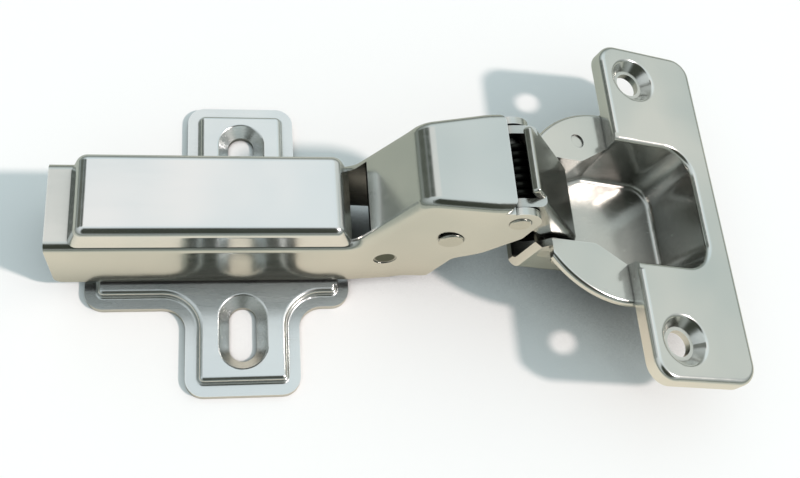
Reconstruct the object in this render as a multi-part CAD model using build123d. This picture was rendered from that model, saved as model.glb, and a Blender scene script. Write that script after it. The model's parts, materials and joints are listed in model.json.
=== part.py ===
from build123d import *
import os
from math import atan2, cos, degrees, hypot, radians, sin, sqrt, tan

# Concealed furniture hinge, held open, in millimetres.
# Origin: middle of the mounting plate, between its two screw slots, on the cabinet side.
# X runs from the plate toward the cup, Z away from the cabinet side.

# ---------------------------------------------------------------- common sizes
sheet = 1.2
pin_running_gap = 0.04
fixed_pin_gap = 0.02
screw_running_gap = 0.05
curved_gap = 0.3
seat_gap = 0.05

# ---------------------------------------------------------------- mounting plate
plate_rear = 25.0
plate_front = 17.5
plate_half_width = 11.5
wing_half_width = 9.1
wing_reach = 26.3
plate_corner_radius = 3.0
plate_throat_radius = 3.8
panel_rise = 1.3
panel_inset = 2.1
panel_edge_radius = 0.8
panel_foot_radius = 0.45
slot_edge_radius = 0.5
slot_pitch = 32.0
slot_width = 4.4
slot_rim_width = 7.8
slot_rim_length = 12.6
slot_pad_margin = 0.95
slot_rim_slope = 45.0
rail_half_width = 6.1
rail_rear = 22.5
rail_front = 15.5
rail_top = 14.2
rail_bend_radius = 1.6
rail_foot_radius = 1.0

# ---------------------------------------------------------------- screws
lock_screw_x = -16.0
lock_shaft_radius = 2.5
lock_head_radius = 4.25
lock_head_height = 2.2
lock_collar_radius = 4.2
lock_collar_drop = 2.6
lock_shaft_drop = 3.4
side_screw_x = 8.5
side_thread_radius = 3.0
side_thread_length = 3.1
side_neck_radius = 1.7
side_foot_radius = 2.75
side_foot_height = 1.5
recess_width = 1.0
recess_span = 4.4
recess_depth = 1.3
depth_travel = 2.0

# ---------------------------------------------------------------- hinge arm
arm_rear = 29.3
arm_top = 15.5
arm_half_width = 7.5
arm_wall_foot = 3.2
crank_foot_x = 17.0
crank_head_x = 26.0
crank_waist_half_width = 7.05
nose_front_x = 39.1
nose_top_z = 31.0
nose_rise = 0.8
nose_half_width = 8.35
nose_shoulder_x = 36.5
nose_ear_radius = 3.15
nose_corner_radius = 1.8
crank_foot_radius = 3.2
crank_head_radius = 4.0
arm_edge_radius = 1.5
arm_plan_radius = 14.0
window_rear_x = 15.3
window_front_x = 19.3
window_half_width = 6.0
cap_slot_x = -24.2
cap_slot_length = 1.6
cap_slot_half_width = 2.6
side_collar_radius = 4.3
side_collar_rise = 1.0
ear_front_spot = (43.4, -6.1)
nose_chin_spot = (42.3, -10.0)
nose_under_spot = (37.6, -14.9)
wall_shoulder_x = 33.0
wall_shoulder_bulge = 0.9
wall_step = (31.1, 7.3)
wall_toe = (30.2, 4.7)
wall_toe_start_x = 24.0
chin_radius = 1.5
under_radius = 4.0
shoulder_radius = 3.0
step_radius = 2.0
toe_radius = 1.2
dimple_x = 22.4
dimple_z = 11.0
dimple_radius = 1.9
dimple_depth = 0.45

# ---------------------------------------------------------------- cover cap
cap_top = 19.75
cap_wall = 0.8
cap_top_rear = 23.85
cap_top_front = 14.5
cap_foot_rear = 25.9
cap_foot_front = 16.7
cap_top_half_width = 5.7
cap_foot_half_width = 5.95
cap_edge_radius = 0.6
cap_tongue_half_width = 2.2

# ---------------------------------------------------------------- linkage
open_angle = 105.0
cup_centre_spot = (62.0, -12.36)
outer_arm_spot = (40.6, -4.7)
inner_arm_spot = (31.4, -11.4)
outer_cup_pivot_uv = (-9.6, -7.9)
inner_cup_pivot_uv = (-13.5, -6.5)
arm_pin_radius = 1.5
cup_pin_radius = 1.2
pin_head_height = 0.3
outer_pin_head_extra = 0.2
inner_pin_head_extra = 0.5
rivet_head_extra = 0.35
link_sheet = 1.4
rivet_bore_radius = 0.85
outer_link_half_width = 6.95
outer_arm_eye_radius = 2.9
outer_cup_eye_radius = 2.55
outer_web_top_spot = (42.5, 0.7)
outer_hip_spot = (52.7, -14.0)
outer_hip_radius = 2.4
link_edge_radius = 1.0
lip_corner_radius = 0.5
inner_link_half_width = 4.7
inner_eye_wall = 1.25
path_steps = 12

# ---------------------------------------------------------------- closing spring
wire_radius = 0.6
coil_radius = 2.25
coil_pitch = 1.3
coil_full_turns = 7
spring_leg_overrun = 1.2

# ---------------------------------------------------------------- cup
cup_radius = 17.5
flange_near_u = 0.2
flange_overhang = 1.75
flange_half_length = 30.7
flange_corner_radius = 3.6
flange_edge_radius = 1.0
flange_hole_u = 6.0
flange_hole_pitch = 48.0
flange_hole_radius = 2.2
dish_floor_radius = 2.8
dish_rim_radius = 4.2
dish_foot_radius = 3.6
dish_edge_radius = 0.8
pocket_half_width = 11.2
pocket_far_u = 14.9
pocket_corner_radius = 5.0
pocket_lip_radius = 0.9
pocket_depth = 12.0
floor_half_width = 9.7
floor_far_u = 14.4
floor_corner_radius = 4.5
floor_edge_radius = 1.0
throat_half_width = 7.5
throat_start_u = -5.7
throat_end_wall = 2.5
throat_tip_u = -14.0
throat_tip_drop = 5.2
throat_turn_radius = 2.0
ledge_drop = 2.94
ledge_edge_radius = 0.7
punch_mark_u = -6.0
punch_mark_v = 11.3
punch_mark_radius = 1.3
punch_mark_depth = 0.3


# ---------------------------------------------------------------- helpers
def rounded_face(corners):
    # Flat face from (x, y, corner radius) triples, in order round the outline.
    starts = []
    middles = []
    ends = []
    count = len(corners)
    for index, (x, y, radius) in enumerate(corners):
        corner = Vector(x, y)
        before = corners[index - 1]
        after = corners[(index + 1) % count]
        back = (Vector(before[0], before[1]) - corner).normalized()
        forth = (Vector(after[0], after[1]) - corner).normalized()
        half = radians(back.get_angle(forth)) / 2
        inward = (back + forth).normalized()
        starts.append(corner + back * (radius / tan(half)))
        ends.append(corner + forth * (radius / tan(half)))
        middles.append(corner + inward * (radius / sin(half) - radius))
    edges = []
    for index in range(count):
        if corners[index][2] > 0:
            edges.append(ThreePointArc(starts[index], middles[index], ends[index]))
        edges.append(Line(ends[index], starts[(index + 1) % count]))
    return make_face(edges)


def parallel_path(points, distance):
    # Open path moved to its right by the distance, corners kept sharp.
    moved = []
    for index, (x, y) in enumerate(points):
        normals = []
        for first, second in ((index - 1, index), (index, index + 1)):
            if first >= 0 and second < len(points):
                dx = points[second][0] - points[first][0]
                dy = points[second][1] - points[first][1]
                length = hypot(dx, dy)
                normals.append((dy / length, -dx / length))
        sum_x = normals[0][0] + normals[-1][0]
        sum_y = normals[0][1] + normals[-1][1]
        scale = 2 * distance / (sum_x**2 + sum_y**2)
        moved.append((x + sum_x * scale, y + sum_y * scale))
    return moved


def side_slab(face, low, high):
    # Side-view face (x, z) given a thickness from y = low to y = high.
    return Pos(0, high, 0) * extrude(Plane.XZ * face, amount=high - low)


def side_disc(centre, radius, low, high):
    return side_slab(Pos(*centre) * Circle(radius), low, high)


def turned(point, angle):
    # Side-view point turned counterclockwise about the origin.
    turn = radians(angle)
    x, z = point
    return (x * cos(turn) - z * sin(turn), x * sin(turn) + z * cos(turn))


def minus(first, second):
    return (first[0] - second[0], first[1] - second[1])


def plus(first, second):
    return (first[0] + second[0], first[1] + second[1])


def heading(point):
    return degrees(atan2(point[1], point[0]))


def hull_corners(points):
    # Convex outline round the points, counterclockwise from the lowest x.
    ordered = sorted(points)
    outline = []
    for run in (ordered, ordered[::-1]):
        chain = []
        for point in run:
            while len(chain) > 1:
                first = minus(chain[-1], chain[-2])
                second = minus(point, chain[-2])
                if first[0] * second[1] - first[1] * second[0] > 0:
                    break
                chain.pop()
            chain.append(point)
        outline += chain[:-1]
    return outline


def headed_pin(centre, shaft_radius, half_span, head_extra):
    # Riveted pin across the hinge, with a low head outside each wall.
    head_radius = shaft_radius + head_extra
    pin = side_disc(centre, shaft_radius, -half_span - pin_head_height, half_span + pin_head_height)
    for side in (-1, 1):
        low = min(side * half_span, side * (half_span + pin_head_height))
        head = side_disc(centre, head_radius, low, low + pin_head_height)
        rim = head.edges().filter_by(GeomType.CIRCLE).sort_by(Axis.Y)
        pin += chamfer(rim[-1] if side > 0 else rim[0], pin_head_height / 2)
    return pin


def cross_recess(top_z, centre_x):
    # Cross-shaped driver recess sunk in a screw head.
    bar = Pos(centre_x, 0, top_z) * Box(recess_span, recess_width, 2 * recess_depth)
    return bar + Pos(centre_x, 0, top_z) * Box(recess_width, recess_span, 2 * recess_depth)


# ---------------------------------------------------------------- linkage poses
open_tilt = open_angle - 90
nose_top = (0, nose_top_z)
cup_centre = plus(cup_centre_spot, nose_top)
outer_arm_pivot = plus(outer_arm_spot, nose_top)
inner_arm_pivot = plus(inner_arm_spot, nose_top)
outer_cup_pivot = plus(cup_centre, turned(outer_cup_pivot_uv, -open_tilt))
inner_cup_pivot = plus(cup_centre, turned(inner_cup_pivot_uv, -open_tilt))
outer_bar = minus(outer_cup_pivot, outer_arm_pivot)
inner_bar = minus(inner_cup_pivot, inner_arm_pivot)
cup_bar = minus(inner_cup_pivot, outer_cup_pivot)
closed_cup_bar = turned(cup_bar, open_angle)
# Closed: two circles, about the outer arm pivot and about the shifted inner one, meet.
shifted_pivot = minus(inner_arm_pivot, closed_cup_bar)
between = minus(shifted_pivot, outer_arm_pivot)
distance = hypot(*between)
along = (distance**2 + hypot(*outer_bar) ** 2 - hypot(*inner_bar) ** 2) / (2 * distance)
aside = sqrt(hypot(*outer_bar) ** 2 - along**2)
closed_outer_bar = (
    (between[0] * along - between[1] * aside) / distance,
    (between[1] * along + between[0] * aside) / distance,
)
closed_inner_pivot = plus(plus(outer_arm_pivot, closed_outer_bar), closed_cup_bar)
outer_turn = heading(closed_outer_bar) - heading(outer_bar)
inner_turn = heading(minus(closed_inner_pivot, inner_arm_pivot)) - heading(inner_bar)
cup_turn = open_angle - outer_turn

# The cup pin's travel as seen from the inner link, while all three turn in proportion.
slot_path = []
for step in range(path_steps + 1):
    share = step / path_steps
    cup_end = plus(outer_arm_pivot, turned(outer_bar, share * outer_turn))
    pin_spot = plus(cup_end, turned(cup_bar, share * open_angle))
    seen = turned(minus(pin_spot, inner_arm_pivot), -share * inner_turn)
    slot_path.append(plus(inner_arm_pivot, seen))

# ---------------------------------------------------------------- mounting plate
panel_top = sheet + panel_rise
slot_length = slot_rim_length - (slot_rim_width - slot_width)
plate_corners = [
    (-plate_rear, -plate_half_width, plate_corner_radius),
    (-wing_half_width, -plate_half_width, plate_throat_radius),
    (-wing_half_width, -wing_reach, plate_corner_radius),
    (wing_half_width, -wing_reach, plate_corner_radius),
    (wing_half_width, -plate_half_width, plate_throat_radius),
    (plate_front, -plate_half_width, plate_corner_radius),
    (plate_front, plate_half_width, plate_corner_radius),
    (wing_half_width, plate_half_width, plate_throat_radius),
    (wing_half_width, wing_reach, plate_corner_radius),
    (-wing_half_width, wing_reach, plate_corner_radius),
    (-wing_half_width, plate_half_width, plate_throat_radius),
    (-plate_rear, plate_half_width, plate_corner_radius),
]
plate_outline = rounded_face(plate_corners)
panel_outline = offset(plate_outline, amount=-panel_inset)
mounting_plate = extrude(plate_outline, amount=sheet)
panel = extrude(panel_outline, amount=panel_top)
panel = fillet(panel.faces().sort_by(Axis.Z)[-1].edges(), panel_edge_radius)
mounting_plate += panel
step_edges = mounting_plate.edges().filter_by(
    lambda edge: abs(edge.center().Z - sheet) < seat_gap
    and abs(edge.center().X) < plate_rear - panel_inset / 2
    and abs(edge.center().Y) < wing_reach - panel_inset / 2
    and edge.is_interior
)
mounting_plate = fillet(step_edges, panel_foot_radius)
mounting_plate -= extrude(offset(plate_outline, amount=-panel_inset - sheet), amount=panel_rise)
slot_spots = [Pos(0, side * slot_pitch / 2, 0) * Rot(0, 0, 90) for side in (-1, 1)]
for spot in slot_spots:
    pad_width = slot_rim_width + 2 * slot_pad_margin
    pad_length = slot_rim_length + 2 * slot_pad_margin
    mounting_plate += extrude(spot * SlotOverall(pad_length, pad_width), amount=panel_rise)
rail_length = rail_rear + rail_front
rail_middle_x = (rail_front - rail_rear) / 2
rail_flare_half_width = rail_half_width + 2 * rail_foot_radius
rail_section = rounded_face(
    [
        (-rail_flare_half_width, panel_rise, 0),
        (-rail_flare_half_width, panel_top, 0),
        (-rail_half_width, panel_top, rail_foot_radius),
        (-rail_half_width, rail_top, rail_bend_radius),
        (rail_half_width, rail_top, rail_bend_radius),
        (rail_half_width, panel_top, rail_foot_radius),
        (rail_flare_half_width, panel_top, 0),
        (rail_flare_half_width, panel_rise, 0),
    ]
)
mounting_plate += Pos(-rail_rear, 0, 0) * extrude(Plane.YZ * rail_section, amount=rail_length)
rail_inner_width = 2 * (rail_half_width - sheet)
rail_web_under = rail_top - sheet
mounting_plate -= Pos(rail_middle_x, 0, 0) * Box(
    rail_length, rail_inner_width, rail_web_under, align=(Align.CENTER, Align.CENTER, Align.MIN)
)
lock_collar_foot = rail_web_under - lock_collar_drop
mounting_plate += Pos(lock_screw_x, 0, lock_collar_foot) * extrude(
    Circle(lock_collar_radius), amount=lock_collar_drop + sheet / 2
)
lock_hole_radius = lock_shaft_radius + screw_running_gap
mounting_plate -= Pos(lock_screw_x, 0, 0) * extrude(Circle(lock_hole_radius), amount=rail_top + sheet)
neck_slot_radius = side_neck_radius + curved_gap
neck_slot_end = side_screw_x - depth_travel
mounting_plate -= Pos(neck_slot_end, 0, rail_web_under) * extrude(
    Circle(neck_slot_radius), amount=2 * sheet
)
mounting_plate -= Pos(neck_slot_end, 0, rail_web_under) * Box(
    rail_length, 2 * neck_slot_radius, 2 * sheet, align=(Align.MIN, Align.CENTER, Align.MIN)
)
for spot in slot_spots:
    mounting_plate -= extrude(spot * SlotOverall(slot_length, slot_width), amount=panel_top)
    rim = spot * Pos(0, 0, panel_top) * SlotOverall(slot_rim_length, slot_rim_width)
    mounting_plate -= extrude(rim, amount=-(slot_rim_width - slot_width) / 2, taper=slot_rim_slope)
slot_rims = mounting_plate.edges().filter_by(
    lambda edge: abs(edge.center().Z - panel_top) < seat_gap
    and abs(edge.center().X) < slot_rim_width / 2 + seat_gap
    and abs(abs(edge.center().Y) - slot_pitch / 2) < slot_rim_length / 2 + seat_gap
)
mounting_plate = fillet(slot_rims, slot_edge_radius)

# ---------------------------------------------------------------- screws
lock_head_foot = arm_top + seat_gap
locking_screw = Pos(lock_screw_x, 0, lock_head_foot) * extrude(
    Circle(lock_head_radius), amount=lock_head_height
)
locking_screw = fillet(locking_screw.faces().sort_by(Axis.Z)[-1].edges(), lock_head_height / 3)
lock_shaft_foot = lock_collar_foot - (lock_shaft_drop - lock_collar_drop)
locking_screw += Pos(lock_screw_x, 0, lock_shaft_foot) * extrude(
    Circle(lock_shaft_radius), amount=lock_head_foot - lock_shaft_foot
)
locking_screw -= cross_recess(lock_head_foot + lock_head_height, lock_screw_x)

side_thread_foot = rail_top + curved_gap
side_foot_top = rail_web_under - curved_gap
side_thread_top = side_thread_foot + side_thread_length
side_adjusting_screw = Pos(side_screw_x, 0, side_thread_foot) * extrude(
    Circle(side_thread_radius), amount=side_thread_length
)
side_adjusting_screw += Pos(side_screw_x, 0, side_foot_top - side_foot_height) * extrude(
    Circle(side_foot_radius), amount=side_foot_height
)
side_adjusting_screw += Pos(side_screw_x, 0, side_foot_top) * extrude(
    Circle(side_neck_radius), amount=side_thread_foot - side_foot_top
)
side_adjusting_screw -= cross_recess(side_thread_top, side_screw_x)

# ---------------------------------------------------------------- hinge arm
crank_head_z = nose_top_z - nose_rise
nose_under = plus(nose_under_spot, nose_top)
wall_shoulder = (wall_shoulder_x, (nose_under[1] + wall_step[1]) / 2 + wall_shoulder_bulge)
top_path = [
    (-arm_rear, arm_top),
    (crank_foot_x, arm_top),
    (crank_head_x, crank_head_z),
    (nose_front_x, nose_top_z),
]
under_path = parallel_path(top_path, sheet)
wall_profile = rounded_face(
    [
        (-arm_rear, arm_top, 0),
        (crank_foot_x, arm_top, crank_foot_radius),
        (crank_head_x, crank_head_z, crank_head_radius),
        (nose_front_x, nose_top_z, 0),
        (nose_front_x, outer_arm_pivot[1], 0),
        (*plus(ear_front_spot, nose_top), 0),
        (*plus(nose_chin_spot, nose_top), chin_radius),
        (*nose_under, under_radius),
        (*wall_shoulder, shoulder_radius),
        (*wall_step, step_radius),
        (*wall_toe, toe_radius),
        (wall_toe_start_x, arm_wall_foot, under_radius),
        (-arm_rear, arm_wall_foot, chin_radius),
    ]
)
wall_profile += Pos(*outer_arm_pivot) * Circle(nose_ear_radius)
plan_half = [
    (-arm_rear, arm_half_width, 0),
    (crank_foot_x, arm_half_width, arm_plan_radius),
    (crank_head_x, crank_waist_half_width, arm_plan_radius),
    (nose_shoulder_x, nose_half_width, arm_plan_radius),
    (nose_front_x + 2 * nose_ear_radius, nose_half_width, 0),
]
plan_mirror = [(x, -y, radius) for x, y, radius in reversed(plan_half)]
arm_plan = rounded_face(plan_mirror[::-1] + plan_half[::-1])
inner_half = [(x, y - sheet, radius) for x, y, radius in plan_half]
inner_half[0] = (-2 * arm_rear, arm_half_width - sheet, 0)
inner_half[-1] = (2 * nose_front_x, nose_half_width - sheet, 0)
inner_mirror = [(x, -y, radius) for x, y, radius in reversed(inner_half)]
inner_plan = rounded_face(inner_mirror[::-1] + inner_half[::-1])
hinge_arm = side_slab(wall_profile, -2 * nose_half_width, 2 * nose_half_width)
hinge_arm &= extrude(arm_plan, amount=2 * nose_top_z)
long_edges = hinge_arm.edges().filter_by(
    lambda edge: edge.center().Z > arm_top - seat_gap
    and edge.center().X < nose_front_x
    and (edge.center().X < crank_head_x or edge.center().Z > crank_head_z - sheet)
    and abs(edge.center().Y) > crank_waist_half_width - seat_gap
    and abs((edge @ 1).X - (edge @ 0).X) > seat_gap
)
hinge_arm = fillet(long_edges, arm_edge_radius)
nose_corner = Rectangle(nose_corner_radius, nose_corner_radius, align=(Align.MIN, Align.MIN))
nose_corner -= Circle(nose_corner_radius)
nose_trim = Pos(
    nose_front_x - nose_corner_radius,
    nose_half_width - nose_corner_radius,
    outer_arm_pivot[1] + nose_ear_radius,
) * extrude(nose_corner, amount=nose_top_z)
hinge_arm -= nose_trim
hinge_arm -= mirror(nose_trim, about=Plane.XZ)
arm_hollow = side_slab(
    rounded_face(
        [
            (-2 * arm_rear, under_path[0][1], 0),
            (*under_path[1], crank_foot_radius + sheet),
            (*under_path[2], crank_head_radius - sheet),
            (*under_path[3], 0),
            (nose_front_x, 2 * nose_top_z, 0),
            (2 * nose_front_x, 2 * nose_top_z, 0),
            (2 * nose_front_x, -arm_top, 0),
            (-2 * arm_rear, -arm_top, 0),
        ]
    ),
    -2 * nose_half_width,
    2 * nose_half_width,
)
hinge_arm -= arm_hollow & Pos(0, 0, -arm_top) * extrude(inner_plan, amount=4 * nose_top_z)
arm_under = arm_top - sheet
lock_slot_radius = lock_shaft_radius + curved_gap + seat_gap
lock_slot_length = 2 * (depth_travel + lock_slot_radius)
hinge_arm -= Pos(lock_screw_x, 0, arm_under) * extrude(
    SlotOverall(lock_slot_length, 2 * lock_slot_radius), amount=2 * sheet
)
hinge_arm += Pos(side_screw_x, 0, arm_under) * extrude(
    Circle(side_collar_radius), amount=sheet + side_collar_rise
)
side_hole_radius = side_thread_radius + screw_running_gap
hinge_arm -= Pos(side_screw_x, 0, arm_under) * extrude(Circle(side_hole_radius), amount=3 * sheet)
hinge_arm -= Pos(cap_slot_x, 0, arm_under) * Box(
    cap_slot_length, 2 * cap_slot_half_width, 4 * sheet
)
hinge_arm -= Pos((window_rear_x + window_front_x) / 2, 0, arm_top) * Box(
    window_front_x - window_rear_x, 2 * window_half_width, 6 * sheet
)
for side in (-1, 1):
    dimple_low = min(side * arm_half_width, side * (arm_half_width - dimple_depth))
    dimple = side_disc((dimple_x, dimple_z), dimple_radius, dimple_low, dimple_low + dimple_depth)
    hinge_arm -= dimple
for pivot in (outer_arm_pivot, inner_arm_pivot):
    hinge_arm -= side_disc(pivot, arm_pin_radius + fixed_pin_gap, -2 * nose_half_width, 2 * nose_half_width)

# ---------------------------------------------------------------- arm pins
outer_arm_pin = headed_pin(outer_arm_pivot, arm_pin_radius, nose_half_width, outer_pin_head_extra)
shoulder_slope = (nose_half_width - crank_waist_half_width) / (nose_shoulder_x - crank_head_x)
inner_head_front_x = inner_arm_pivot[0] + arm_pin_radius + inner_pin_head_extra
inner_pin_half_span = crank_waist_half_width + shoulder_slope * (inner_head_front_x - crank_head_x)
inner_arm_pin = headed_pin(inner_arm_pivot, arm_pin_radius, inner_pin_half_span, inner_pin_head_extra)

# ---------------------------------------------------------------- cover cap
cap_side = rounded_face(
    [
        (-cap_foot_rear, arm_top, 0),
        (-cap_top_rear, cap_top, cap_wall),
        (cap_top_front, cap_top, cap_wall),
        (cap_foot_front, arm_top, 0),
    ]
)
cap_end = rounded_face(
    [
        (-cap_foot_half_width, arm_top, 0),
        (-cap_top_half_width, cap_top, 0),
        (cap_top_half_width, cap_top, 0),
        (cap_foot_half_width, arm_top, 0),
    ]
)
cap_rim_z = arm_top + cap_wall
cap_rim_y = cap_top_half_width - cap_wall
arm_cover_cap = side_slab(cap_side, -arm_half_width, arm_half_width)
arm_cover_cap &= Pos(-2 * arm_rear, 0, 0) * extrude(Plane.YZ * cap_end, amount=4 * arm_rear)
cap_rim = arm_cover_cap.edges().filter_by(
    lambda edge: edge.center().Z > cap_rim_z and abs(edge.center().Y) > cap_rim_y
)
arm_cover_cap = fillet(cap_rim, cap_edge_radius)
cap_side_hollow = make_face(
    Polyline(
        (-cap_foot_rear + cap_wall, arm_top - sheet),
        (-cap_foot_rear + cap_wall, arm_top),
        (-cap_top_rear + cap_wall / 2, cap_top - cap_wall),
        (cap_top_front - cap_wall / 2, cap_top - cap_wall),
        (cap_foot_front - cap_wall, arm_top),
        (cap_foot_front - cap_wall, arm_top - sheet),
        close=True,
    )
)
cap_hollow_half_width = cap_top_half_width - cap_wall
arm_cover_cap -= side_slab(cap_side_hollow, -cap_hollow_half_width, cap_hollow_half_width)
cap_tongue_length = cap_slot_length - 2 * curved_gap
for tongue_x in (cap_slot_x, window_rear_x + curved_gap + cap_tongue_length / 2):
    arm_cover_cap += Pos(tongue_x, 0, arm_under + seat_gap) * Box(
        cap_tongue_length,
        2 * cap_tongue_half_width,
        2 * sheet,
        align=(Align.CENTER, Align.CENTER, Align.MIN),
    )

# ---------------------------------------------------------------- outer link
web_top = plus(outer_web_top_spot, nose_top)
outer_hip = plus(outer_hip_spot, nose_top)
web_run = minus(outer_hip, web_top)
eye_top_z = outer_arm_pivot[1] + outer_arm_eye_radius
web_foot = plus(web_top, (web_run[0] * (eye_top_z - web_top[1]) / web_run[1], eye_top_z - web_top[1]))
cup_front = (outer_cup_pivot[0] + outer_cup_eye_radius, outer_cup_pivot[1])
arm_back = (outer_arm_pivot[0] - outer_arm_eye_radius, outer_arm_pivot[1])
outer_side = rounded_face(
    [
        (outer_arm_pivot[0], eye_top_z, 0),
        (*web_foot, 0),
        (*outer_hip, outer_hip_radius),
        (*cup_front, 0),
        (*outer_cup_pivot, 0),
        (*arm_back, 0),
    ]
)
outer_side += Pos(*outer_arm_pivot) * Circle(outer_arm_eye_radius)
outer_side += Pos(*outer_cup_pivot) * Circle(outer_cup_eye_radius)
outer_link = side_slab(outer_side, -outer_link_half_width, outer_link_half_width)
web_edges = outer_link.edges().filter_by(
    lambda edge: abs(abs(edge.center().Y) - outer_link_half_width) < seat_gap
    and edge.center().X > web_foot[0]
    and edge.center().Z > outer_cup_pivot[1] + link_edge_radius
)
outer_link = fillet(web_edges, link_edge_radius)
web_under = parallel_path([web_top, outer_hip, cup_front], link_sheet)
cheek_inside = outer_link_half_width - link_sheet
outer_link -= side_slab(
    rounded_face(
        [
            (*web_under[0], 0),
            (*web_under[1], outer_hip_radius - link_sheet),
            (web_under[2][0], web_under[2][1] + link_sheet, 0),
            (2 * cup_front[0], web_under[2][1] + link_sheet, 0),
            (2 * cup_front[0], -outer_arm_pivot[1], 0),
            (0, -outer_arm_pivot[1], 0),
            (0, web_under[0][1], 0),
        ]
    ),
    -cheek_inside,
    cheek_inside,
)
# The web stands above the cheeks as a lip behind the arm's open nose.
lip = side_slab(
    make_face(Polyline(web_top, web_under[0], plus(web_under[0], web_run), outer_hip, close=True)),
    -cheek_inside,
    cheek_inside,
)
lip &= Pos(0, 0, eye_top_z - link_sheet) * Box(
    4 * cup_front[0], 2 * outer_link_half_width, nose_top_z, align=(Align.CENTER, Align.CENTER, Align.MIN)
)
lip_ends = lip.edges().filter_by(
    lambda edge: edge.length > 2 * link_sheet and abs(edge.center().Y) > cheek_inside - seat_gap
)
lip = fillet(lip_ends + lip.faces().sort_by(Axis.Z)[-1].edges(), lip_corner_radius)
outer_link += lip
# The cup's inner pin swings past the outer link's cheeks round the cup rivets.
sweep_radius = cup_pin_radius + curved_gap
pin_orbit = hypot(*cup_bar)
orbit_start = heading(cup_bar)
pin_sweep = Circle(pin_orbit + sweep_radius) - Circle(pin_orbit - sweep_radius)
sweep_corners = [(0, 0)]
for step in range(path_steps + 1):
    sweep_corners.append(turned((4 * pin_orbit, 0), orbit_start + cup_turn * step / path_steps))
pin_sweep &= make_face(Polyline(*sweep_corners, close=True))
for end in (0, 1):
    pin_sweep += Pos(*turned(cup_bar, end * cup_turn)) * Circle(sweep_radius)
outer_link -= side_slab(
    Pos(*outer_cup_pivot) * pin_sweep, -outer_link_half_width, outer_link_half_width
)
for pivot, radius in ((outer_arm_pivot, arm_pin_radius), (outer_cup_pivot, cup_pin_radius)):
    outer_link -= side_disc(
        pivot, radius + pin_running_gap, -outer_link_half_width, outer_link_half_width
    )

# ---------------------------------------------------------------- inner link
slot_corners = hull_corners(slot_path)
slot_face = offset(make_face(Polyline(*slot_corners, close=True)), amount=cup_pin_radius + pin_running_gap)
inner_eye_radius = cup_pin_radius + pin_running_gap + inner_eye_wall
inner_corners = hull_corners(slot_path + [inner_arm_pivot])
inner_side = offset(make_face(Polyline(*inner_corners, close=True)), amount=inner_eye_radius)
inner_link = side_slab(inner_side, -inner_link_half_width, inner_link_half_width)
inner_axis = heading(inner_bar)
bar_length = hypot(*inner_bar)
inner_channel = Pos(*inner_arm_pivot) * Rot(0, 0, inner_axis) * Pos(bar_length / 2, inner_eye_radius, 0)
inner_link -= side_slab(
    inner_channel * Rectangle(2 * bar_length, 4 * inner_eye_radius - 2 * sheet),
    sheet - inner_link_half_width,
    inner_link_half_width - sheet,
)
inner_link -= side_slab(slot_face, -inner_link_half_width, inner_link_half_width)
inner_link -= side_disc(
    inner_arm_pivot, arm_pin_radius + pin_running_gap, -inner_link_half_width, inner_link_half_width
)

# ---------------------------------------------------------------- closing spring
# One leg stands under the arm's top, the other lies on the round inner end of the inner link.
bearing_radius = inner_eye_radius + wire_radius + seat_gap
pivot_gap = minus(inner_arm_pivot, outer_arm_pivot)
pivot_distance = hypot(*pivot_gap)
leg_offset = coil_radius - bearing_radius
leg_lean = degrees(atan2(sqrt(pivot_distance**2 - leg_offset**2), leg_offset))
leave_angle = heading(pivot_gap) + 360 - leg_lean
coil_start_angle = 180.0
coil_turns = coil_full_turns - (coil_start_angle - leave_angle) / 360
coil_length = coil_pitch * coil_turns
coil_plane = Plane(
    origin=(outer_arm_pivot[0], coil_length / 2, outer_arm_pivot[1]), x_dir=(-1, 0, 0), z_dir=(0, -1, 0)
)
coil = coil_plane * Helix(pitch=coil_pitch, height=coil_length, radius=coil_radius)
web_slope = (nose_top_z - crank_head_z) / (nose_front_x - crank_head_x)
leg_x = outer_arm_pivot[0] - coil_radius
web_under_z = nose_top_z - web_slope * (nose_front_x - leg_x + wire_radius) - sheet
short_leg = Line((leg_x, coil_length / 2, web_under_z - seat_gap), coil @ 0)
leave_turn = radians(leave_angle)
leave_way = Vector(-sin(leave_turn), 0, cos(leave_turn))
long_leg_length = sqrt(pivot_distance**2 - leg_offset**2) + spring_leg_overrun
long_leg = Line(coil @ 1, coil @ 1 + leave_way * long_leg_length)
spring_path = Wire([short_leg.edge(), coil.edge(), long_leg.edge()])
wire_end = Plane(spring_path @ 0, z_dir=spring_path % 0) * Circle(wire_radius)
closing_spring = sweep(wire_end, path=spring_path, transition=Transition.TRANSFORMED)

# ---------------------------------------------------------------- cup
flange_far_u = cup_radius + flange_overhang
throat_end_u = inner_cup_pivot_uv[0] - throat_end_wall
flange_outline = rounded_face(
    [
        (-flange_near_u, -flange_half_length, flange_corner_radius),
        (flange_far_u, -flange_half_length, flange_corner_radius),
        (flange_far_u, flange_half_length, flange_corner_radius),
        (-flange_near_u, flange_half_length, flange_corner_radius),
    ]
)
hinge_cup = extrude(flange_outline, amount=-ledge_drop)
hinge_cup = fillet(hinge_cup.faces().sort_by(Axis.Z)[-1].edges(), flange_edge_radius)
hinge_cup -= Pos(0, 0, -sheet) * extrude(offset(flange_outline, amount=-sheet), amount=-ledge_drop)
hole_spots = [Pos(flange_hole_u, side * flange_hole_pitch / 2, 0) for side in (-1, 1)]
dish_floor = ledge_drop - sheet
to_floor = (Align.CENTER, Align.CENTER, Align.MAX)
for spot in hole_spots:
    hinge_cup += spot * Cone(dish_foot_radius, dish_rim_radius + sheet, ledge_drop, align=to_floor) & (
        Pos(0, 0, -sheet) * extrude(flange_outline, amount=sheet - ledge_drop)
    )
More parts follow.
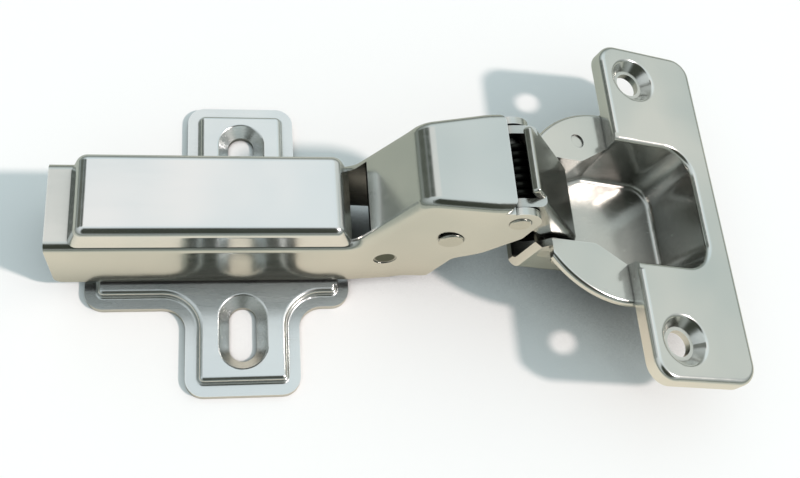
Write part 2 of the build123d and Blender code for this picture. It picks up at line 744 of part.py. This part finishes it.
for spot in hole_spots:
    hinge_cup -= spot * Cone(dish_floor_radius, dish_rim_radius, dish_floor, align=to_floor)
    rim_edges = hinge_cup.edges().filter_by(GeomType.CIRCLE).filter_by(
        lambda edge: abs(edge.radius - dish_rim_radius) < seat_gap and edge.center().Y * spot.position.Y > 0
    )
    hinge_cup = fillet(rim_edges, dish_edge_radius)
    hinge_cup -= spot * Cylinder(flange_hole_radius, 2 * ledge_drop + sheet)


def pocket_section(half_width, far_u, corner_radius, inflate):
    # Pocket outline seen down into the cup, grown by the sheet for the outside.
    face = rounded_face(
        [
            (-2 * cup_radius, -throat_half_width, 0),
            (throat_start_u, -throat_half_width, throat_turn_radius),
            (0, -half_width, throat_turn_radius),
            (far_u, -half_width, corner_radius),
            (far_u, half_width, corner_radius),
            (0, half_width, throat_turn_radius),
            (throat_start_u, throat_half_width, throat_turn_radius),
            (-2 * cup_radius, throat_half_width, 0),
        ]
    )
    if inflate > 0:
        face = offset(face, amount=inflate)
    return face


def inside_disc(edge):
    return edge.center().X > -cup_radius


pocket_top = pocket_section(pocket_half_width, pocket_far_u, pocket_corner_radius, 0)
pocket_floor = Pos(0, 0, -pocket_depth) * pocket_section(
    floor_half_width, floor_far_u, floor_corner_radius, 0
)
pocket = loft([pocket_floor, pocket_top], ruled=True)
pocket = fillet(pocket.faces().sort_by(Axis.Z)[0].edges().filter_by(inside_disc), floor_edge_radius)
# Above the flange the pocket opens out, so that its rim is rolled into the opening.
pocket += extrude(Rectangle(4 * flange_half_length, 4 * flange_half_length), amount=cup_radius)
rim_edges = pocket.edges().filter_by(inside_disc).filter_by(
    lambda edge: abs(edge.center().Z) < seat_gap and abs(edge.center().Y) < cup_radius
)
pocket = fillet(rim_edges, pocket_lip_radius)
shell_top = pocket_section(pocket_half_width, pocket_far_u, pocket_corner_radius, sheet)
shell_floor = Pos(0, 0, -pocket_depth - sheet) * pocket_section(
    floor_half_width, floor_far_u, floor_corner_radius, sheet
)
shell = loft([shell_floor, shell_top], ruled=True)
shell_foot = shell.faces().sort_by(Axis.Z)[0]
shell = fillet(shell_foot.edges().filter_by(inside_disc), floor_edge_radius + sheet / 2)
cup_disc = Pos(0, 0, -2 * pocket_depth) * extrude(Circle(cup_radius), amount=2 * pocket_depth)
shell &= cup_disc
throat_trim = make_face(
    Polyline(
        (-2 * cup_radius, cup_radius),
        (-flange_near_u, cup_radius),
        (-flange_near_u, -ledge_drop),
        (throat_tip_u, -ledge_drop),
        (throat_end_u, -throat_tip_drop),
        (throat_end_u, -cup_radius),
        (-2 * cup_radius, -cup_radius),
        close=True,
    )
)
shell -= side_slab(throat_trim, -cup_radius, cup_radius)
ledge = Pos(0, 0, -ledge_drop - sheet) * extrude(Circle(cup_radius), amount=sheet)
ledge = fillet(ledge.faces().sort_by(Axis.Z)[-1].edges(), ledge_edge_radius)
ledge &= Pos((throat_tip_u + sheet - flange_near_u) / 2, 0, 0) * Box(
    sheet - flange_near_u - throat_tip_u, 4 * cup_radius, 4 * cup_radius
)
riser = Pos(-flange_near_u, 0, -ledge_drop - sheet) * Box(
    sheet, 2 * cup_radius, ledge_drop, align=(Align.MIN, Align.CENTER, Align.MIN)
)
hinge_cup += shell
hinge_cup += ledge
hinge_cup += riser & cup_disc
hinge_cup -= pocket
hinge_cup -= Pos(punch_mark_u, punch_mark_v, -ledge_drop) * Cylinder(
    punch_mark_radius, 2 * punch_mark_depth
)
hinge_cup = Pos(cup_centre[0], 0, cup_centre[1]) * Rot(0, open_tilt, 0) * hinge_cup
throat_outside = throat_half_width + sheet
for pivot in (outer_cup_pivot, inner_cup_pivot):
    hinge_cup -= side_disc(pivot, cup_pin_radius + fixed_pin_gap, -2 * throat_outside, 2 * throat_outside)

# ---------------------------------------------------------------- cup pins
cup_inner_pin = side_disc(inner_cup_pivot, cup_pin_radius, -throat_outside, throat_outside)
whole_rivet = headed_pin(outer_cup_pivot, cup_pin_radius, throat_outside, rivet_head_extra)
whole_rivet -= side_disc(outer_cup_pivot, rivet_bore_radius, -2 * throat_outside, 2 * throat_outside)
rivet_end = cheek_inside - seat_gap
cup_rivet_near = whole_rivet & Pos(outer_cup_pivot[0], -rivet_end, outer_cup_pivot[1]) * Box(
    4 * cup_radius, cup_radius, 4 * cup_radius, align=(Align.CENTER, Align.MAX, Align.CENTER)
)
cup_rivet_far = mirror(cup_rivet_near, about=Plane.XZ)

# ---------------------------------------------------------------- files
os.makedirs("parts", exist_ok=True)
pieces = {
    "mounting_plate": mounting_plate,
    "locking_screw": locking_screw,
    "side_adjusting_screw": side_adjusting_screw,
    "hinge_arm": hinge_arm,
    "outer_arm_pin": outer_arm_pin,
    "inner_arm_pin": inner_arm_pin,
    "arm_cover_cap": arm_cover_cap,
    "outer_link": outer_link,
    "inner_link": inner_link,
    "closing_spring": closing_spring,
    "hinge_cup": hinge_cup,
    "cup_rivet_near": cup_rivet_near,
    "cup_rivet_far": cup_rivet_far,
    "cup_inner_pin": cup_inner_pin,
}
for name, piece in pieces.items():
    export_step(piece, f"parts/{name}.step")
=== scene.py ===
import json
from math import cos, radians, sin

import bmesh
import bpy
from mathutils import Matrix, Vector


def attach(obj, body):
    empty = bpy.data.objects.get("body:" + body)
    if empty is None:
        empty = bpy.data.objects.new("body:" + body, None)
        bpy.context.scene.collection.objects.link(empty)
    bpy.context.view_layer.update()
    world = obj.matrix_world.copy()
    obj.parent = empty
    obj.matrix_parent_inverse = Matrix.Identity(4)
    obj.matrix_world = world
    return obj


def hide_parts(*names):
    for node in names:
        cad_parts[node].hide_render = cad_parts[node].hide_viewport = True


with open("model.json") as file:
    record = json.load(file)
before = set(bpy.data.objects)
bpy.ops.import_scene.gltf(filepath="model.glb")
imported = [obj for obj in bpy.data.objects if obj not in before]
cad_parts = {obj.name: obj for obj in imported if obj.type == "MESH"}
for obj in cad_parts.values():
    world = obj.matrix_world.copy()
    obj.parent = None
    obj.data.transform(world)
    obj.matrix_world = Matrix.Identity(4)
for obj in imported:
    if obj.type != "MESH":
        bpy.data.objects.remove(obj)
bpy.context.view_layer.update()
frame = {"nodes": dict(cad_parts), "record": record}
print("frame loaded")


# small helpers for node trees
def feed(tree, socket, value):
    # links another node's output, or sets a plain value
    if isinstance(value, bpy.types.NodeSocket):
        tree.links.new(value, socket)
    elif socket.type == "RGBA" and len(value) == 3:
        socket.default_value = (*value, 1)
    else:
        socket.default_value = value


def addNode(tree, kind, x, y, choices=None, **inputs):
    # choices are the node's own settings, inputs go to its sockets
    node = tree.nodes.new(kind)
    node.location = (x, y)
    for name, value in (choices or {}).items():
        setattr(node, name, value)
    for name, value in inputs.items():
        feed(tree, node.inputs[name.replace("_", " ")], value)
    return node


def numberMath(tree, operation, x, y, *inputs, clamp=False):
    node = addNode(tree, "ShaderNodeMath", x, y, dict(operation=operation, use_clamp=clamp))
    for socket, value in zip(node.inputs, inputs):
        feed(tree, socket, value)
    return node.outputs[0]


def vectorMath(tree, operation, x, y, *inputs):
    node = addNode(tree, "ShaderNodeVectorMath", x, y, dict(operation=operation))
    for socket, value in zip(node.inputs, inputs):
        feed(tree, socket, value)
    isNumber = operation in ("DOT_PRODUCT", "DISTANCE", "LENGTH")
    return node.outputs["Value" if isNumber else "Vector"]


def mapRange(tree, x, y, value, smooth=False, **limits):
    shape = dict(interpolation_type="SMOOTHSTEP" if smooth else "LINEAR")
    node = addNode(tree, "ShaderNodeMapRange", x, y, shape, Value=value, **limits)
    return node.outputs["Result"]


def mixColour(tree, x, y, share, first, second, blend="MIX"):
    # first where share is 0, second where it is 1
    how = dict(data_type="RGBA", blend_type=blend)
    node = addNode(tree, "ShaderNodeMix", x, y, how, Factor=share, A=first, B=second)
    return node.outputs["Result"]


def ramp(tree, x, y, value, low, high):
    # low and high are each a place from 0 to 1 and the shade there
    node = addNode(tree, "ShaderNodeValToRGB", x, y, Fac=value)
    for element, (place, shade) in zip(node.color_ramp.elements, (low, high)):
        element.position = place
        element.color = (*shade, 1)
    return node.outputs["Color"]


def newGroup(name, ins, outs):
    # a shader node group: inputs with their defaults, outputs with their socket kinds
    group = bpy.data.node_groups.new(name, "ShaderNodeTree")
    for label, value in ins:
        kind = "NodeSocketVector" if isinstance(value, tuple) else "NodeSocketFloat"
        socket = group.interface.new_socket(name=label, in_out="INPUT", socket_type=kind)
        socket.default_value = value
    for label, kind in outs:
        group.interface.new_socket(name=label, in_out="OUTPUT", socket_type=kind)
    start = addNode(group, "NodeGroupInput", -900, 0)
    end = addNode(group, "NodeGroupOutput", 700, 0)
    return group, start.outputs, end.inputs


def useGroup(tree, group, x, y, **inputs):
    return addNode(tree, "ShaderNodeGroup", x, y, dict(node_tree=group), **inputs).outputs


# rolled-sheet grain: long faint streaks along the sheet, with a soft cloudiness
def makeGrainGroup():
    group, start, end = newGroup(
        "rolledGrain",
        [("Scale", 900.0), ("Cloud", 60.0)],
        [("Grain", "NodeSocketFloat"), ("Patch", "NodeSocketFloat")],
    )
    drawnOut = (0.12, 1.0, 1.0)  # a squeezed X makes the streaks long
    place = addNode(group, "ShaderNodeTexCoord", -700, 200).outputs["Object"]
    along = vectorMath(group, "MULTIPLY", -520, 200, place, drawnOut)
    grain = addNode(group, "ShaderNodeTexNoise", -320, 220,
                    Vector=along, Scale=start["Scale"], Detail=6.0, Roughness=0.65)
    cloud = addNode(group, "ShaderNodeTexNoise", -320, -60,
                    Vector=place, Scale=start["Cloud"], Detail=2.0, Roughness=0.5)
    feed(group, end["Grain"], grain.outputs["Fac"])
    feed(group, end["Patch"], cloud.outputs["Fac"])
    return group


# how close a point is to a sharp edge: 0 on flats, towards 1 on the edge
def makeEdgeGroup():
    group, start, end = newGroup(
        "edgeNearness", [("Reach", 0.0004), ("Gain", 6.0)], [("Edge", "NodeSocketFloat")]
    )
    soft = addNode(group, "ShaderNodeBevel", -500, 100, dict(samples=6), Radius=start["Reach"])
    true = addNode(group, "ShaderNodeNewGeometry", -500, -120).outputs["Normal"]
    agree = vectorMath(group, "DOT_PRODUCT", -280, 0, soft.outputs["Normal"], true)
    away = numberMath(group, "SUBTRACT", -80, 0, 1.0, agree)
    edge = numberMath(group, "MULTIPLY", 120, 0, away, start["Gain"], clamp=True)
    feed(group, end["Edge"], edge)
    return group


# upright walls of a pressed channel stand a little open, which shows in what they mirror
def makeLeanGroup():
    group, start, end = newGroup("wallLean", [("Lean", 0.1)], [("Normal", "NodeSocketVector")])
    true = addNode(group, "ShaderNodeNewGeometry", -700, 100).outputs["Normal"]
    axes = addNode(group, "ShaderNodeSeparateXYZ", -500, 0, Vector=true).outputs
    steep = numberMath(group, "ABSOLUTE", -320, 0, axes["Z"])
    share = mapRange(group, -140, 0, steep, From_Min=0.5, From_Max=0.0, To_Max=start["Lean"])
    lift = addNode(group, "ShaderNodeCombineXYZ", 60, 0, Z=share).outputs["Vector"]
    raised = vectorMath(group, "ADD", 240, 60, true, lift)
    feed(group, end["Normal"], vectorMath(group, "NORMALIZE", 420, 60, raised))
    return group


# how open a point lies: 1 out in the open, falling in seams and again deep inside pockets
def makeOpenGroup():
    group, start, end = newGroup(
        "openness",
        [("Seam", 0.0005), ("Pocket", 0.016), ("Seam Depth", 0.6), ("Pocket Depth", 0.7)],
        [("Open", "NodeSocketFloat")],
    )
    hollows = (
        dict(reach="Seam", depth="Seam Depth", shut=0.35, clear=0.85, y=200),
        dict(reach="Pocket", depth="Pocket Depth", shut=0.15, clear=0.75, y=-100),
    )
    shares = []
    for hollow in hollows:
        y = hollow["y"]
        around = addNode(group, "ShaderNodeAmbientOcclusion", -600, y, dict(samples=6),
                         Distance=start[hollow["reach"]])
        least = numberMath(group, "SUBTRACT", -600, y - 140, 1.0, start[hollow["depth"]])
        shares.append(mapRange(group, -380, y, around.outputs["AO"], From_Min=hollow["shut"],
                               From_Max=hollow["clear"], To_Min=least))
    feed(group, end["Open"], numberMath(group, "MULTIPLY", 0, 0, *shares))
    return group


# a round spot of painted shade on both flanks of a piece, for the dark inside a pressed dimple: 1
# inside the spot
def makeDimpleShadeGroup():
    group, start, end = newGroup(
        "paintedDimpleShade", [("Place", (0.0, 0.0, 0.0)), ("Radius", 0.002)], [("PaintedShade", "NodeSocketFloat")]
    )
    place = addNode(group, "ShaderNodeTexCoord", -800, 100).outputs["Object"]
    axes = addNode(group, "ShaderNodeSeparateXYZ", -640, 100, Vector=place).outputs
    flank = numberMath(group, "ABSOLUTE", -500, 0, axes["Y"])
    folded = addNode(group, "ShaderNodeCombineXYZ", -360, 100, X=axes["X"], Y=flank, Z=axes["Z"])
    away = vectorMath(group, "DISTANCE", -220, 100, folded.outputs["Vector"], start["Place"])
    share = numberMath(group, "DIVIDE", -80, 100, away, start["Radius"])
    softRim = dict(From_Min=1.0, From_Max=0.75)
    feed(group, end["PaintedShade"], mapRange(group, 80, 100, share, smooth=True, **softRim))
    return group


# a round soft patch of sky: 1 inside, 0 outside
def makePatchGroup():
    group, start, end = newGroup(
        "skyPatch",
        [("Look", (0.0, 0.0, 1.0)), ("Way", (0.0, 0.0, 1.0)), ("Outer", 0.5), ("Inner", 0.9)],
        [("Mask", "NodeSocketFloat")],
    )
    unit = vectorMath(group, "NORMALIZE", -600, 100, start["Look"])
    agree = vectorMath(group, "DOT_PRODUCT", -400, 100, unit, start["Way"])
    limits = dict(From_Min=start["Outer"], From_Max=start["Inner"])
    feed(group, end["Mask"], mapRange(group, -150, 100, agree, smooth=True, **limits))
    return group


grainGroup = makeGrainGroup()
edgeGroup = makeEdgeGroup()
leanGroup = makeLeanGroup()
openGroup = makeOpenGroup()
dimpleShadeGroup = makeDimpleShadeGroup()
patchGroup = makePatchGroup()
print("shared effects ready")

# finishes, one for each material slot; a finish takes what it doesn't name from plainSteel
plainSteel = dict(
    grainScale=900.0, cloudScale=55.0,  # per metre: fine streaks, soft clouds
    edgeHighlightReach=0.0003, edgeHighlightGain=3.0,  # width in metres and strength of the painted highlight along sharp edges
    roughLow=0.13, roughHigh=0.20,
    ripple=0.5, wave=0.0003,  # strength and height in metres of the sheet's faint waves
    lean=0.0,  # how far upright walls are shaded as if they stood open
    seamDepth=0.6, pocketDepth=0.85,  # how dark the painted shade in seams and pockets goes, 1 is black
    pocketRough=0.22,  # pockets are drawn and less polished
    # painted shades: the first for seams and pockets, the second inside a pressed dimple at the
    # given place and radius
    shadow=(0.01, 0.012, 0.009), dimpleShadeColour=(0.10, 0.11, 0.09),
    dimpleShade=None, dimpleShadeRadius=0.0,
)
# in each finish, edge is the shade of the painted highlight along sharp edges
finishes = {
    "plate_steel": dict(dark=(0.74, 0.78, 0.79), light=(0.84, 0.86, 0.85), edge=(0.94, 0.95, 0.94),
                        roughLow=0.19, roughHigh=0.27, pocketDepth=0.6),
    "arm_steel": dict(dark=(0.62, 0.645, 0.62), light=(0.73, 0.735, 0.70), edge=(0.86, 0.87, 0.84),
                      roughLow=0.14, roughHigh=0.21, wave=0.0005, lean=0.16, pocketDepth=0.9,
                      # painted shade inside the pressed dimple on both walls
                      dimpleShade=(0.0224, 0.0072, 0.011), dimpleShadeRadius=0.0019),
    "cap_steel": dict(dark=(0.74, 0.79, 0.80), light=(0.93, 0.905, 0.885), edge=(0.95, 0.95, 0.95),
                      grainScale=700.0, cloudScale=42.0, wave=0.0006),
    "link_steel": dict(dark=(0.55, 0.57, 0.54), light=(0.65, 0.655, 0.62), edge=(0.84, 0.86, 0.83),
                       cloudScale=80.0, edgeHighlightReach=0.0002, ripple=0.4, wave=0.0002),
    "cup_steel": dict(dark=(0.66, 0.71, 0.70), light=(0.88, 0.865, 0.82), edge=(0.92, 0.94, 0.92),
                      cloudScale=48.0, wave=0.0006, pocketDepth=0.9),
    "pin_steel": dict(dark=(0.56, 0.57, 0.53), light=(0.64, 0.64, 0.59), edge=(0.78, 0.78, 0.75),
                      grainScale=1400.0, cloudScale=200.0, edgeHighlightReach=0.0001,
                      roughLow=0.20, roughHigh=0.30, ripple=0.4, wave=0.0001, lean=0.16),
    "screw_steel": dict(dark=(0.56, 0.57, 0.54), light=(0.66, 0.67, 0.64), edge=(0.84, 0.84, 0.81),
                        grainScale=1400.0, cloudScale=200.0, edgeHighlightReach=0.0001,
                        roughLow=0.20, roughHigh=0.30, ripple=0.4, wave=0.0001),
    "spring_wire": dict(dark=(0.015, 0.016, 0.014), light=(0.05, 0.05, 0.045),
                        edge=(0.12, 0.12, 0.11),
                        grainScale=1400.0, cloudScale=300.0, edgeHighlightReach=0.0001,
                        roughLow=0.30, roughHigh=0.42, ripple=0.4, wave=0.0001),
}


def platedSteel(name, look):
    # bright plated sheet: cloudy tint, streaky roughness, painted highlights on edges, painted
    # shade in seams, pockets and a dimple, faint waves
    look = {**plainSteel, **look}
    material = bpy.data.materials.new(name)
    material.use_nodes = True
    tree = material.node_tree
    tree.nodes.clear()
    middle = dict(From_Min=0.3, From_Max=0.7)  # where the noise has most of its values
    grain = useGroup(tree, grainGroup, -700, 0, Scale=look["grainScale"], Cloud=look["cloudScale"])
    edge = useGroup(tree, edgeGroup, -700, -260, Reach=look["edgeHighlightReach"], Gain=look["edgeHighlightGain"])
    room = useGroup(tree, openGroup, -700, 420,
                    Seam_Depth=look["seamDepth"], Pocket_Depth=look["pocketDepth"])

    tint = ramp(tree, -450, 120, grain["Patch"], (middle["From_Min"], look["dark"]),
                (middle["From_Max"], look["light"]))
    # painted highlight: lighter towards sharp edges
    colour = mixColour(tree, -120, 120, edge["Edge"], tint, look["edge"])
    # painted shade inside a pressed dimple
    if look["dimpleShade"]:
        dimpleShade = useGroup(tree, dimpleShadeGroup, -450, 620, Place=look["dimpleShade"], Radius=look["dimpleShadeRadius"])
        colour = mixColour(tree, 0, 420, dimpleShade["PaintedShade"], colour, look["dimpleShadeColour"])
    # painted shade where seams and pockets close in
    colour = mixColour(tree, 120, 240, room["Open"], look["shadow"], colour)

    rough = mapRange(tree, -120, -160, grain["Grain"],
                     To_Min=look["roughLow"], To_Max=look["roughHigh"], **middle)
    dull = mapRange(tree, -120, -420, room["Open"], To_Min=look["pocketRough"], To_Max=0.0)
    rough = numberMath(tree, "ADD", 120, -160, rough, dull)

    bump = addNode(tree, "ShaderNodeBump", 300, -260,
                   Strength=look["ripple"], Distance=look["wave"], Height=grain["Patch"])
    if look["lean"]:
        leaning = useGroup(tree, leanGroup, 100, -420, Lean=look["lean"])
        feed(tree, bump.inputs["Normal"], leaning["Normal"])

    skin = addNode(tree, "ShaderNodeBsdfPrincipled", 600, 0, Base_Color=colour, Metallic=1.0,
                   Roughness=rough, Normal=bump.outputs["Normal"])
    addNode(tree, "ShaderNodeOutputMaterial", 900, 0, Surface=skin.outputs["BSDF"])
    return material


materials = {slot: platedSteel(slot, look) for slot, look in finishes.items()}
for part in frame["record"]["subparts"]:
    cadObject = frame["nodes"][part["node"]]
    cadObject.data.materials.clear()
    cadObject.data.materials.append(materials[part["material_slot"]])
print("finishes given to", len(frame["nodes"]), "nodes")

# snap-on cap: a soft-edged stamped lid, open below, with two tongues that catch in the arm
cap = dict(
    rear=-0.0259, front=0.0167, halfWidth=0.0071, low=0.0155,  # the foot, on the arm
    topRear=-0.02435, topFront=0.0150, topHalfWidth=0.0069, high=0.01975,
    roundness=0.0014, steps=7, wall=0.0008,
    tonguePlaces=(-0.0242, 0.0159), tongueSize=(0.0011, 0.0044, 0.0020), tongueSink=0.0005,
    sharpAngle=40,  # degrees, from which an edge isn't shaded smooth
)


def makeCap(look):
    shell = bmesh.new()
    length, height = look["front"] - look["rear"], look["high"] - look["low"]
    middleX, middleZ = (look["front"] + look["rear"]) / 2, (look["high"] + look["low"]) / 2
    bmesh.ops.create_cube(shell, size=1.0)
    bmesh.ops.scale(shell, verts=shell.verts, vec=(length, 2 * look["halfWidth"], height))
    bmesh.ops.translate(shell, verts=shell.verts, vec=(middleX, 0.0, middleZ))

    # the top is a little smaller than the foot
    for corner in shell.verts:
        if corner.co.z > middleZ:
            corner.co.x = look["topFront"] if corner.co.x > 0 else look["topRear"]
            corner.co.y = look["topHalfWidth"] if corner.co.y > 0 else -look["topHalfWidth"]
    soft = [edge for edge in shell.edges if max(v.co.z for v in edge.verts) > middleZ]
    bmesh.ops.bevel(shell, geom=soft, offset=look["roundness"], offset_type="OFFSET",
                    segments=look["steps"], profile=0.5, affect="EDGES", clamp_overlap=True,
                    material=-1)

    # open below, with a sheet's wall
    below = [face for face in shell.faces if face.normal.z < -0.9]
    bmesh.ops.delete(shell, geom=below, context="FACES_ONLY")
    bmesh.ops.solidify(shell, geom=list(shell.faces), thickness=look["wall"])
    tongueZ = look["low"] - look["tongueSink"]
    for tongueX in look["tonguePlaces"]:
        tongue = bmesh.ops.create_cube(shell, size=1.0)["verts"]
        bmesh.ops.scale(shell, verts=tongue, vec=look["tongueSize"])
        bmesh.ops.translate(shell, verts=tongue, vec=(tongueX, 0.0, tongueZ))
    bmesh.ops.recalc_face_normals(shell, faces=shell.faces)

    mesh = bpy.data.meshes.new("armCap")
    shell.to_mesh(mesh)
    shell.free()
    mesh.shade_smooth()
    mesh.set_sharp_from_angle(angle=radians(look["sharpAngle"]))
    mesh.materials.append(materials["cap_steel"])
    lid = bpy.data.objects.new("armCap", mesh)
    bpy.context.collection.objects.link(lid)
    even = lid.modifiers.new("evenNormals", "WEIGHTED_NORMAL")
    even.keep_sharp = True
    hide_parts("arm_cover_cap")
    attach(lid, "arm")


makeCap(cap)
print("cap made")

# paper floor
paper = dict(
    size=3.0, shade=(0.96, 0.95, 0.94), roughness=0.9,
    # bright metal mirrors it as a painted pool of light round the hinge that falls away to a
    # painted dim room
    nearShade=(0.82, 0.74, 0.61), farShade=(0.46, 0.465, 0.40), nearReach=0.030, farReach=0.052,
    middle=(0.02, -0.038, 0.0), stretch=(0.45, 1.0, 1.0),
    # painted shade: the paper is darkened deep under the hinge, where less fill reaches
    underReach=0.03, underShade=0.08, underShut=0.2, underClear=0.45,
)


def makePaper(look):
    material = bpy.data.materials.new("paper")
    material.use_nodes = True
    tree = material.node_tree
    place = addNode(tree, "ShaderNodeTexCoord", -1100, 0).outputs["Object"]
    shifted = vectorMath(tree, "SUBTRACT", -1000, 0, place, look["middle"])
    stretched = vectorMath(tree, "MULTIPLY", -860, 0, shifted, look["stretch"])
    away = vectorMath(tree, "LENGTH", -720, 0, stretched)
    fade = mapRange(tree, -540, 0, away, From_Min=look["nearReach"], From_Max=look["farReach"])
    # painted reflection: a pool of light for glossy rays, fading to a dim room
    mirrored = mixColour(tree, -340, 0, fade, look["nearShade"], look["farShade"])
    ray = addNode(tree, "ShaderNodeLightPath", -540, 320).outputs
    seen = mixColour(tree, -160, 120, ray["Is Glossy Ray"], look["shade"], mirrored)
    # painted shade on the paper where the hinge closes in above it
    around = addNode(tree, "ShaderNodeAmbientOcclusion", -540, -320, dict(samples=8),
                     Distance=look["underReach"])
    under = mapRange(tree, -340, -320, around.outputs["AO"], From_Min=look["underShut"],
                     From_Max=look["underClear"], To_Min=look["underShade"])
    dimmed = mixColour(tree, 20, 120, 1.0, seen, under, blend="MULTIPLY")
    skin = tree.nodes["Principled BSDF"]
    skin.inputs["Roughness"].default_value = look["roughness"]
    feed(tree, skin.inputs["Base Color"], dimmed)
    return material


bpy.ops.mesh.primitive_plane_add(size=paper["size"])
floor = bpy.context.object
floor.name = "floor"
floor.data.materials.append(makePaper(paper))

# one soft sun
sun = dict(way=(0.89, -0.385, 1.0), power=2.05, shade=(1.0, 0.87, 0.83), angle=4.0)
sunData = bpy.data.lights.new("keyLight", "SUN")
sunData.energy = sun["power"]
sunData.color = sun["shade"]
sunData.angle = radians(sun["angle"])
sunLamp = bpy.data.objects.new("keyLight", sunData)
sunLamp.rotation_euler = Vector(sun["way"]).normalized().to_track_quat("Z", "Y").to_euler()
bpy.context.collection.objects.link(sunLamp)

# room: dull surfaces get the plain fill, bright metal sees the panels
studio = dict(
    backdrop=(0.96, 0.97, 0.97),  # what the camera sees past the paper
    fillTop=(0.58, 0.70, 0.73), fillLow=(0.56, 0.64, 0.65),
    roomTop=(0.68, 0.73, 0.74), roomLow=(0.16, 0.18, 0.15), roomTopAt=0.8,
    # way to each panel, its half width and softness in degrees, its shade; later ones lie on top
    panels=[
        dict(way=(0.664, 0.44, 0.605), wide=22.0, soft=6.0, shade=(0.66, 0.70, 0.67)),
        dict(way=(0.05, 0.52, 0.85), wide=28.0, soft=10.0, shade=(0.78, 0.86, 0.88)),
        dict(way=(-0.18, 0.46, 0.87), wide=9.0, soft=9.0, shade=(0.96, 0.96, 0.95)),
        dict(way=(0.0, -0.62, 0.78), wide=31.0, soft=8.0, shade=(0.045, 0.052, 0.04)),
        dict(way=(-0.44, 0.45, 0.77), wide=9.0, soft=4.0, shade=(0.09, 0.10, 0.085)),
        dict(way=(-0.74, 0.46, 0.49), wide=13.0, soft=4.0, shade=(0.11, 0.12, 0.10)),
    ],
)


def makeStudio(look):
    world = bpy.data.worlds.new("studio")
    world.use_nodes = True
    sky = world.node_tree
    sky.nodes.clear()
    way = addNode(sky, "ShaderNodeTexCoord", -900, 0).outputs["Generated"]
    height = addNode(sky, "ShaderNodeSeparateXYZ", -700, 0, Vector=way).outputs["Z"]
    roomTop = (look["roomTopAt"], look["roomTop"])
    fill = ramp(sky, -450, -200, height, (0.0, look["fillLow"]), (1.0, look["fillTop"]))
    room = ramp(sky, -450, 100, height, (0.0, look["roomLow"]), roomTop)
    for order, panel in enumerate(look["panels"]):
        x = -200 + 220 * order
        outer = cos(radians(panel["wide"] + panel["soft"]))
        inner = cos(radians(panel["wide"] - panel["soft"]))
        patch = useGroup(sky, patchGroup, x, 420, Look=way, Way=Vector(panel["way"]).normalized(),
                         Outer=outer, Inner=inner)
        room = mixColour(sky, x, 120, patch["Mask"], room, panel["shade"])
    ray = addNode(sky, "ShaderNodeLightPath", 1000, -260).outputs
    lit = mixColour(sky, 1200, 0, ray["Is Diffuse Ray"], room, fill)
    seen = mixColour(sky, 1400, 0, ray["Is Camera Ray"], lit, look["backdrop"])
    glow = addNode(sky, "ShaderNodeBackground", 1600, 0, Color=seen)
    addNode(sky, "ShaderNodeOutputWorld", 1800, 0, Surface=glow.outputs["Background"])
    return world


bpy.context.scene.world = makeStudio(studio)

# camera: place in metres, angles in degrees, lens in millimetres
eye = dict(place=(-0.002785, -0.069718, 0.155115), yaw=22.934, pitch=63.576, roll=-20.561,
           lens=44.706, sensor=36.0, near=0.01)
yaw, pitch, roll = (radians(eye[angle]) for angle in ("yaw", "pitch", "roll"))
ahead = Vector((sin(yaw) * cos(pitch), cos(yaw) * cos(pitch), -sin(pitch)))
flatRight = Vector((cos(yaw), -sin(yaw), 0.0))
flatDown = ahead.cross(flatRight)
rightWay = cos(roll) * flatRight + sin(roll) * flatDown
downWay = -sin(roll) * flatRight + cos(roll) * flatDown
cameraData = bpy.data.cameras.new("camera")
cameraData.sensor_width = eye["sensor"]
cameraData.lens = eye["lens"]
cameraData.clip_start = eye["near"]
camera = bpy.data.objects.new("camera", cameraData)
turn = Matrix((rightWay, -downWay, -ahead)).transposed().to_4x4()
camera.matrix_world = Matrix.Translation(eye["place"]) @ turn
bpy.context.collection.objects.link(camera)
bpy.context.scene.camera = camera
bpy.context.scene.view_settings.view_transform = "Standard"
print("stage set")
